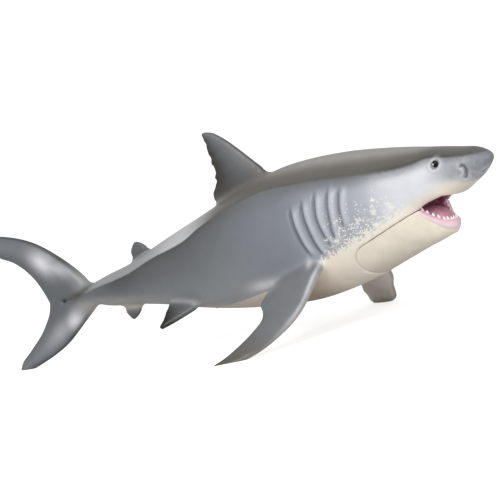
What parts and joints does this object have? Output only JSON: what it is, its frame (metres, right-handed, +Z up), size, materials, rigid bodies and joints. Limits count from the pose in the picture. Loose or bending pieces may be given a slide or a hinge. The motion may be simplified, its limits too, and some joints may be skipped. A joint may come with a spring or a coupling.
{
  "type": "shark figurine",
  "caption": "Painted shark figurine with its mouth open and a hinged lower jaw, standing on its pectoral fin tips and lower tail tip.",
  "frame": {"origin": "on the ground plane under the middle of the figurine's overall box", "axes": "+X toward the nose, +Y to the shark's left, +Z up"},
  "size_m": [0.2074, 0.0926, 0.0675],
  "materials": {
    "body_paint": "satin airbrushed paint on soft plastic, grey above and cream below",
    "jaw_paint": "satin cream paint on soft plastic, pink gums and white teeth"
  },
  "bodies": {
    "body": {"body": "body_paint"},
    "lower_jaw": {"lower_jaw": "jaw_paint"}
  },
  "joints": [
    {"name": "jaw_hinge", "type": "hinge", "parent": "body", "child": "lower_jaw", "pos_m": [0.0618, 0, 0.01989], "axis": [0, 1, 0], "range_deg": [0, 20]}
  ]
}
